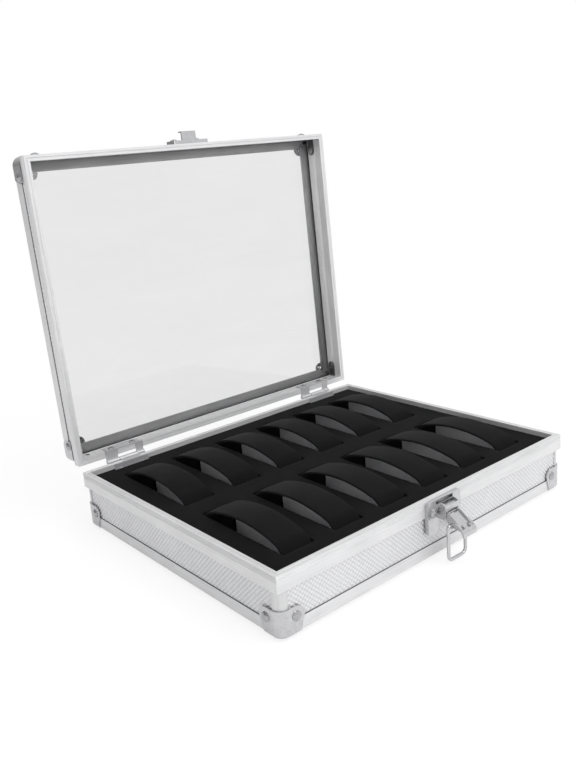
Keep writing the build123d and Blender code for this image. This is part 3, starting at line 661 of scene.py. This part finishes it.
def shadow_line_mesh(name, width, low, high):
    """Four thin dark bars in the joint behind the outer edges, between two closed heights: painted
    shadow for the shadow gap of that joint.
    """
    mesh = bmesh.new()
    for turn, (length, reach) in enumerate(((WIDTH, DEPTH), (DEPTH, WIDTH)) * 2):
        half = length / 2 - EDGE_END_GAP
        inner = PANEL_INSET - reach / 2
        outer = inner - width
        bar = bmesh.ops.create_cube(mesh, size=1.0)["verts"]
        size = Matrix.Diagonal((2 * half, inner - outer, high - low, 1))
        place = Matrix.Translation((0, (inner + outer) / 2, (low + high) / 2))
        turned = Matrix.Rotation(turn * math.pi / 2, 4, "Z")
        bmesh.ops.transform(mesh, matrix=turned @ place @ size, verts=bar)
    return free_to_mesh(name, mesh)


# Settings


class WallSettings(bpy.types.PropertyGroup):
    pitch: FloatProperty(
        name="Pitch", description="Distance between studs in a row", default=0.003,
        min=0.001, unit="LENGTH")
    stud_size: FloatProperty(
        name="Stud Size", description="Radius of a stud's foot", default=0.00095, min=0.0002,
        unit="LENGTH")
    stud_height: FloatProperty(
        name="Stud Height", description="How far a stud stands off the sheet", default=0.00028,
        min=0.0001, unit="LENGTH")
    corner_gap: FloatProperty(
        name="Corner Gap", description="From the case's corner to the first stud", default=0.0075,
        unit="LENGTH")
    # The dark line between wall and edge is painted shadow, in place of the shadow in the joint.
    shadow_line_width: FloatProperty(
        name="Shadow Line Width", description="Width of the dark bead between wall and edge",
        default=0.0004, unit="LENGTH")
    shadow_line_height: FloatProperty(
        name="Shadow Line Height", description="Height of the dark bead between wall and edge",
        default=0.0001, unit="LENGTH")


class FoamSettings(bpy.types.PropertyGroup):
    pitch_across: FloatProperty(
        name="Pitch Across", description="Distance between pockets in a row", default=0.0374,
        unit="LENGTH")
    pitch_along: FloatProperty(
        name="Pitch Along", description="Distance between the two rows", default=0.092,
        unit="LENGTH")
    rounding: FloatProperty(
        name="Rounding", description="Radius of the foam's soft edges", default=0.0008, unit="LENGTH")
    swell: FloatProperty(
        name="Swell", description="Unevenness of the covered top", default=0.00035, unit="LENGTH")
    velvet: FloatVectorProperty(
        name="Velvet", description="Colour of the velvet on the insert", subtype="COLOR",
        default=linear("#09090a")[:3])
    # The foam colour is much paler than the real charcoal foam: the extra lightness is painted light for
    # the pocket walls that lie in shade.
    foam: FloatVectorProperty(
        name="Foam", description="Colour of the foam where it is cut", subtype="COLOR",
        default=linear("#bababc")[:3])


class MetalSettings(bpy.types.PropertyGroup):
    aluminium: FloatVectorProperty(
        name="Aluminium", description="Colour of the rims, edges, posts and lid walls",
        subtype="COLOR", default=linear("#d3d3d4")[:3])
    sheet: FloatVectorProperty(
        # The sheet is darker than the studs as painted shade between them, and the studs lighter as
        # painted highlight on their tops.
        name="Sheet", description="Colour of the walls between their studs", subtype="COLOR",
        default=linear("#c8c8ca")[:3])
    studs: FloatVectorProperty(
        name="Studs", description="Colour of the embossed studs", subtype="COLOR",
        default=linear("#dadadc")[:3])
    nickel: FloatVectorProperty(
        name="Nickel", description="Colour of the caps, hinges and latch", subtype="COLOR",
        default=linear("#c1c1c3")[:3])
    rivets: FloatVectorProperty(
        name="Rivets", description="Colour of the rivets and screws", subtype="COLOR",
        default=linear("#a8a8aa")[:3])
    # The brackets' darker grey is painted shade for their place inside the lid.
    brackets: FloatVectorProperty(
        name="Brackets", description="Colour of the brackets inside the lid", subtype="COLOR",
        default=linear("#7c7c7e")[:3])


class PillowSettings(bpy.types.PropertyGroup):
    velvet: FloatVectorProperty(
        name="Velvet", description="Colour of the velvet on the pillows", subtype="COLOR",
        default=linear("#0b0b0c")[:3])
    width: FloatProperty(
        name="Width", description="Across the band", default=0.0209, unit="LENGTH")
    crown: FloatProperty(
        name="Crown", description="How far the band's edges drop below its middle", default=0.0004,
        unit="LENGTH")
    edge: FloatProperty(
        name="Edge Radius", description="Roundness of the band's edges", default=0.0008,
        unit="LENGTH")
    ripple: FloatProperty(
        name="Ripple", description="Unevenness of the cover", default=0.00025, unit="LENGTH")
    parts: IntProperty(
        name="Parts", description="Divisions of each stretch of the band", default=18, min=4)


class StageSettings(bpy.types.PropertyGroup):
    azimuth: FloatProperty(
        name="Azimuth", description="Camera's direction about the upright axis",
        default=math.radians(-39.178), subtype="ANGLE")
    elevation: FloatProperty(
        name="Elevation", description="Camera's height above the horizon",
        default=math.radians(16.406), subtype="ANGLE")
    roll: FloatProperty(
        name="Roll", description="Camera's tilt about its own axis",
        default=math.radians(-4.597), subtype="ANGLE")
    place: FloatVectorProperty(
        name="Camera Place", description="Where the camera stands", subtype="TRANSLATION",
        default=(-0.3376, -0.390776, 0.2393))
    lens: FloatProperty(
        name="Lens", description="Focal length on a 36 mm frame, in millimetres", default=38.11)
    key_power: FloatProperty(
        name="Key Light", description="Power of the main soft light, in watts", default=8.5)
    fill_power: FloatProperty(
        name="Fill Light", description="Power of the soft light beside the camera, in watts",
        default=1.3)
    sky_bright: FloatProperty(
        name="Bright Side", description="Light from the sky's brighter side", default=1.0)
    sky_dim: FloatProperty(
        name="Dim Side", description="Light from the sky's dimmer side", default=0.27)


# Operators


class WATCHCASE_OT_finish_metal(bpy.types.Operator):
    """Give the rims, edges, posts, walls, caps and rivets their metal finishes"""
    bl_idname = "watchcase.finish_metal"
    bl_label = "Finish Metal"

    def execute(self, context):
        group = context.scene.watch_case_metals
        lean = LID_ANGLE - math.pi / 2
        across = drawn_aluminium(group.aluminium, "drawn_across", (DIE_RUN, 1, 1))
        along = drawn_aluminium(group.aluminium, "drawn_along", (1, DIE_RUN, 1))
        # The corner posts take the rims' aluminium darkened to 0.9, as painted shade.
        upright = drawn_aluminium(shade(group.aluminium, 0.9)[:3], "drawn_upright", (1, 1, DIE_RUN))
        leaning = drawn_aluminium(group.aluminium, "drawn_leaning", (1, 1, DIE_RUN), lean)
        for side, base_run, lid_run in (
                ("front", across, across), ("back", across, across),
                ("left", along, leaning), ("right", along, leaning)):
            paint(base_run, f"base_rim_{side}", f"base_edge_{side}")
            paint(lid_run, f"lid_rim_{side}", f"lid_edge_{side}")
        paint(upright, "base_corner_posts")
        walls = [f"base_panel_{side}" for side in ("front", "back", "left", "right")]
        # The walls' sheet is darker than the studs as painted shade between them.
        paint(wall_sheet(group.sheet), *walls)
        # The lid strip's raised tone is partly painted light.
        paint(lid_sheet(group.aluminium), "lid_panels")
        paint(bottom_sheet(group.aluminium), "base_panel_bottom")
        caps = pressed_nickel("nickel_plated_caps", group.nickel, roughness=0.26)
        for half in ("base", "lid"):
            corners = [f"{row}_{side}" for row in ROWS for side in ("left", "right")]
            paint(caps, *[f"{half}_cap_{corner}" for corner in corners])
        paint(rivet_steel(group.rivets), "base_rivets", "lid_rivets")
        paint(shaded_nickel(group.brackets), "lid_brackets")
        return {"FINISHED"}


class WATCHCASE_OT_finish_fittings(bpy.types.Operator):
    """Give the hinges, latch, window and its strip their finishes"""
    bl_idname = "watchcase.finish_fittings"
    bl_label = "Finish Fittings"

    def execute(self, context):
        group = context.scene.watch_case_metals
        hinge = pressed_nickel("nickel_plated_hinges", group.nickel, roughness=0.4, bare=0.6)
        paint(hinge, "hinge_base_leaves", "hinge_lid_leaves", "hinge_pins")
        paint(zinc_screws(group.rivets), "hinge_base_screws", "hinge_lid_screws")
        latch = pressed_nickel("nickel_plated_latch", group.nickel, roughness=0.22)
        paint(latch, "latch_base_plate", "latch_catch_plate", "latch_lever", "latch_pin")
        paint(pressed_nickel("nickel_plated_wire", group.nickel, roughness=0.18), "latch_bail")
        paint(clear_acrylic(), "lid_window")
        paint(rubber("moulded_rubber"), "lid_gasket")
        return {"FINISHED"}


class WATCHCASE_OT_emboss_walls(bpy.types.Operator):
    """Stand the embossed studs on the walls of the base and the lid"""
    bl_idname = "watchcase.emboss_walls"
    bl_label = "Emboss Walls"

    def execute(self, context):
        group = context.scene.watch_case_walls
        # The studs' lighter tone is a painted highlight on their tops.
        tree = stud_tree(stud_tops(context.scene.watch_case_metals.studs))
        shared = {
            "Wall Width": WIDTH, "Wall Depth": DEPTH, "Corner Gap": group.corner_gap,
            "Inset": PANEL_INSET, "Pitch": group.pitch, "Stud Size": group.stud_size,
            "Stud Height": group.stud_height, "Rivet Clearance": RIVET_CLEARANCE}
        reach = group.stud_size
        base = {
            **shared, "Band Bottom": EDGE_TOP + reach, "Band Top": RIM_LOW - reach,
            "Rivet From End": BASE_RIVET_FROM_END, "Rivet Height": BASE_RIVET_HEIGHT}
        lid = {
            **shared, "Band Bottom": LID_STRIP_LOW + reach, "Band Top": LID_STRIP_TOP - reach,
            "Rivet From End": LID_RIVET_FROM_END, "Rivet Height": LID_RIVET_HEIGHT}
        base_mesh = studded_mesh("base_studs", tree, base, stand_matrix())
        lid_mesh = studded_mesh("lid_studs", tree, lid, open_lid_matrix())
        make_piece("base_studs", base_mesh, "case_base")
        make_piece("lid_studs", lid_mesh, "lid")
        return {"FINISHED"}


class WATCHCASE_OT_lay_shadow_lines(bpy.types.Operator):
    """Lay the dark strip of painted shadow in the joint between the walls and the outer edges"""
    bl_idname = "watchcase.lay_beads"
    bl_label = "Lay Shadow Lines"

    def execute(self, context):
        group = context.scene.watch_case_walls
        width, height = group.shadow_line_width, group.shadow_line_height
        # The joint's dark strip is painted shadow, made with the black rubber finish.
        joint_shadow_finish = rubber("painted_joint_shadow")
        base = shadow_line_mesh("base_shadow_line", width, EDGE_TOP, EDGE_TOP + height)
        base.transform(stand_matrix())
        lid = shadow_line_mesh("lid_shadow_line", width, LID_STRIP_TOP - height, LID_STRIP_TOP)
        lid.transform(open_lid_matrix())
        for mesh, body in ((base, "case_base"), (lid, "lid")):
            mesh.materials.append(joint_shadow_finish)
            make_piece(mesh.name, mesh, body)
        return {"FINISHED"}


class WATCHCASE_OT_make_foam(bpy.types.Operator):
    """Make the velvet-topped foam insert and the pad under it"""
    bl_idname = "watchcase.make_foam"
    bl_label = "Make Foam"

    def execute(self, context):
        group = context.scene.watch_case_foam
        back = DEPTH / 2 - FOAM_INSET
        holes = [
            (x - POCKET_WIDTH / 2, x + POCKET_WIDTH / 2, y - POCKET_LENGTH / 2, y + POCKET_LENGTH / 2)
            for row, number, x, y in pocket_centres(group)]
        holes += [
            (x - RELIEF_HALF_WIDTH, x + RELIEF_HALF_WIDTH, back - RELIEF_DEPTH, back)
            for x in (-HINGE_X, HINGE_X)]
        insert = soft_block("velvet_insert", FOAM_FLOOR, FOAM_TOP, holes, group)
        pile = velvet("black_velvet", group.velvet, sheen=0.12)
        cut = cut_foam(group.foam)
        insert.materials.append(pile)
        insert.materials.append(cut)
        for face in insert.polygons:
            face.use_smooth = True
            from_row = face.center.y - math.copysign(group.pitch_along / 2, face.center.y)
            lap = FRONT_LAP if from_row < 0 else BACK_LAP
            at_end = abs(abs(from_row) - POCKET_LENGTH / 2) < lap
            face.material_index = 0 if at_end or face.center.z > FOAM_TOP - VELVET_ROLL else 1
        insert.transform(stand_matrix())
        piece = make_piece("velvet_insert", insert, "case_base")
        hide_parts("foam_insert")
        pad_mesh = soft_block("foam_base_pad", PAD_LOW, FOAM_FLOOR, [], group)
        pad_mesh.materials.append(cut)
        pad_mesh.transform(stand_matrix())
        pad = make_piece("foam_base_pad", pad_mesh, "case_base")
        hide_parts("foam_pad")
        return {"FINISHED"}


class WATCHCASE_OT_make_pillows(bpy.types.Operator):
    """Make the twelve arched watch pillows, each on its own body"""
    bl_idname = "watchcase.make_pillows"
    bl_label = "Make Pillows"

    def execute(self, context):
        group = context.scene.watch_case_pillows
        band = velvet("black_velvet_band", group.velvet, sheen=0.2)
        for row, number, x, y in pocket_centres(context.scene.watch_case_foam):
            name = f"band_{row}_{number}"
            mesh = pillow_mesh(name, x, y, group, f"{row} {number}")
            mesh.materials.append(band)
            mesh.transform(stand_matrix())
            piece = make_piece(name, mesh, f"pillow_{row}_{number}")
            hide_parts(f"pillow_{row}_{number}")
        return {"FINISHED"}


class WATCHCASE_OT_set_stage(bpy.types.Operator):
    """Set up the pale floor, the soft studio light and the camera"""
    bl_idname = "watchcase.set_stage"
    bl_label = "Set Stage"

    def execute(self, context):
        group = context.scene.watch_case_stage
        context.scene.view_settings.view_transform = "Standard"
        self.lay_floor(context)
        self.light_sky(context, group)
        self.hang_lamp(context, "key_light", KEY_PLACE, KEY_SIZE, group.key_power)
        self.hang_lamp(context, "fill_light", FILL_PLACE, FILL_SIZE, group.fill_power)
        self.place_camera(context, group)
        return {"FINISHED"}

    def lay_floor(self, context):
        """White seamless paper, seen at its own white, that keeps a part of the case's shadow."""
        mesh = bmesh.new()
        bmesh.ops.create_grid(mesh, x_segments=4, y_segments=4, size=FLOOR_REACH)
        data = free_to_mesh("floor", mesh)
        floor = bpy.data.objects.new("floor", data)
        context.scene.collection.objects.link(floor)
        material, tree = new_surface("seamless_paper")
        place = object_place(tree)
        grain = noise_at(tree, place, PAPER_GRAINS, Detail=2.0)
        paper = add_node(tree, "ShaderNodeBsdfDiffuse", None, {
            "Color": two_tones(tree, grain, linear("#f6f6f6"), linear("#fbfbfb"))})
        white = add_node(tree, "ShaderNodeEmission", None, {"Color": linear("#ffffff"), "Strength": 1.0})
        distance = add_node(tree, "ShaderNodeVectorMath", {"operation": "LENGTH"}, {0: place})
        plain = map_range(tree, distance.outputs["Value"], *SHADOW_FADE, 1.0 - SHADOW_SHARE, 1.0)
        mixed = add_node(tree, "ShaderNodeMixShader", None, {
            "Fac": maths(tree, "MULTIPLY", seen_directly(tree), plain),
            1: paper.outputs["BSDF"], 2: white.outputs["Emission"]})
        add_node(tree, "ShaderNodeOutputMaterial", None, {"Surface": mixed.outputs["Shader"]})
        data.materials.append(material)

    def light_sky(self, context, group):
        """White where it is seen, also through clear sheet, and elsewhere a plain light that is
        brighter from the front right and above."""
        world = bpy.data.worlds.new("studio")
        context.scene.world = world
        world.use_nodes = True
        tree = world.node_tree
        tree.nodes.clear()
        place = add_node(tree, "ShaderNodeTexCoord").outputs["Generated"]
        towards = add_node(tree, "ShaderNodeVectorMath", {"operation": "DOT_PRODUCT"}, {
            0: place, 1: BRIGHT_SIDE})
        side = map_range(tree, towards.outputs["Value"], -0.8, 0.6, group.sky_dim, group.sky_bright,
                         interpolation_type="SMOOTHSTEP")
        level = map_range(tree, seen_directly(tree), 0.0, 1.0, side, 1.0)
        sky = add_node(tree, "ShaderNodeBackground", None, {
            "Color": linear("#ffffff"), "Strength": level})
        add_node(tree, "ShaderNodeOutputWorld", None, {"Surface": sky.outputs["Background"]})

    def hang_lamp(self, context, name, place, size, power):
        """A square soft light that faces the middle of the case."""
        lamp = bpy.data.lights.new(name, "AREA")
        lamp.shape = "RECTANGLE"
        lamp.size = lamp.size_y = size
        lamp.energy = power
        holder = bpy.data.objects.new(name, lamp)
        holder.location = place
        aim = Vector(LAMP_AIM) - Vector(place)
        holder.rotation_euler = aim.to_track_quat("-Z", "Y").to_euler()
        context.scene.collection.objects.link(holder)

    def place_camera(self, context, group):
        """Sets the camera in its place, turned by azimuth, elevation and roll."""
        camera = bpy.data.cameras.new("camera")
        camera.lens = group.lens
        camera.sensor_width = FRAME_MM
        camera.clip_start = NEAREST_SEEN
        holder = bpy.data.objects.new("camera", camera)
        azimuth, elevation, roll = group.azimuth, group.elevation, group.roll
        behind = Vector((math.sin(azimuth) * math.cos(elevation),
                         -math.cos(azimuth) * math.cos(elevation), math.sin(elevation)))
        level = Vector((math.cos(azimuth), math.sin(azimuth), 0))
        upward = behind.cross(level)
        side = math.cos(roll) * level + math.sin(roll) * upward
        top = math.cos(roll) * upward - math.sin(roll) * level
        turn = Matrix((side, top, behind)).transposed().to_4x4()
        holder.matrix_world = Matrix.Translation(group.place) @ turn
        context.scene.collection.objects.link(holder)
        context.scene.camera = holder


def seen_directly(tree):
    """One on rays from the camera and through clear sheet, and nought on others."""
    rays = add_node(tree, "ShaderNodeLightPath").outputs
    return maths(tree, "MAXIMUM", rays["Is Camera Ray"], rays["Is Transmission Ray"])


class WATCHCASE_PT_panel(bpy.types.Panel):
    """Watch display case"""
    bl_label = "Watch Case"
    bl_idname = "WATCHCASE_PT_panel"
    bl_space_type = "VIEW_3D"
    bl_region_type = "UI"
    bl_category = "Watch Case"

    def draw(self, context):
        layout = self.layout
        for operator in OPERATORS:
            layout.operator(operator.bl_idname)
        for name in SETTINGS:
            group = getattr(context.scene, name)
            box = layout.box()
            for field in group.bl_rna.properties:
                if field.identifier not in ("name", "rna_type"):
                    box.prop(group, field.identifier)


SETTINGS = {
    "watch_case_metals": MetalSettings,
    "watch_case_walls": WallSettings,
    "watch_case_foam": FoamSettings,
    "watch_case_pillows": PillowSettings,
    "watch_case_stage": StageSettings,
}
OPERATORS = (
    WATCHCASE_OT_finish_metal,
    WATCHCASE_OT_finish_fittings,
    WATCHCASE_OT_emboss_walls,
    WATCHCASE_OT_lay_shadow_lines,
    WATCHCASE_OT_make_foam,
    WATCHCASE_OT_make_pillows,
    WATCHCASE_OT_set_stage,
)


def register():
    """Adds the settings, the operators and the panel."""
    for name, group in SETTINGS.items():
        bpy.utils.register_class(group)
        setattr(bpy.types.Scene, name, PointerProperty(type=group))
    for operator in OPERATORS:
        bpy.utils.register_class(operator)
    bpy.utils.register_class(WATCHCASE_PT_panel)


def unregister():
    """Takes the panel, the operators and the settings away again."""
    bpy.utils.unregister_class(WATCHCASE_PT_panel)
    for operator in reversed(OPERATORS):
        bpy.utils.unregister_class(operator)
    for name, group in reversed(SETTINGS.items()):
        delattr(bpy.types.Scene, name)
        bpy.utils.unregister_class(group)


def main():
    """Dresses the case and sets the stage."""
    register()
    bpy.ops.watchcase.finish_metal()
    bpy.ops.watchcase.finish_fittings()
    bpy.ops.watchcase.emboss_walls()
    bpy.ops.watchcase.lay_beads()
    bpy.ops.watchcase.make_foam()
    bpy.ops.watchcase.make_pillows()
    bpy.ops.watchcase.set_stage()


if __name__ == "__main__":
    main()
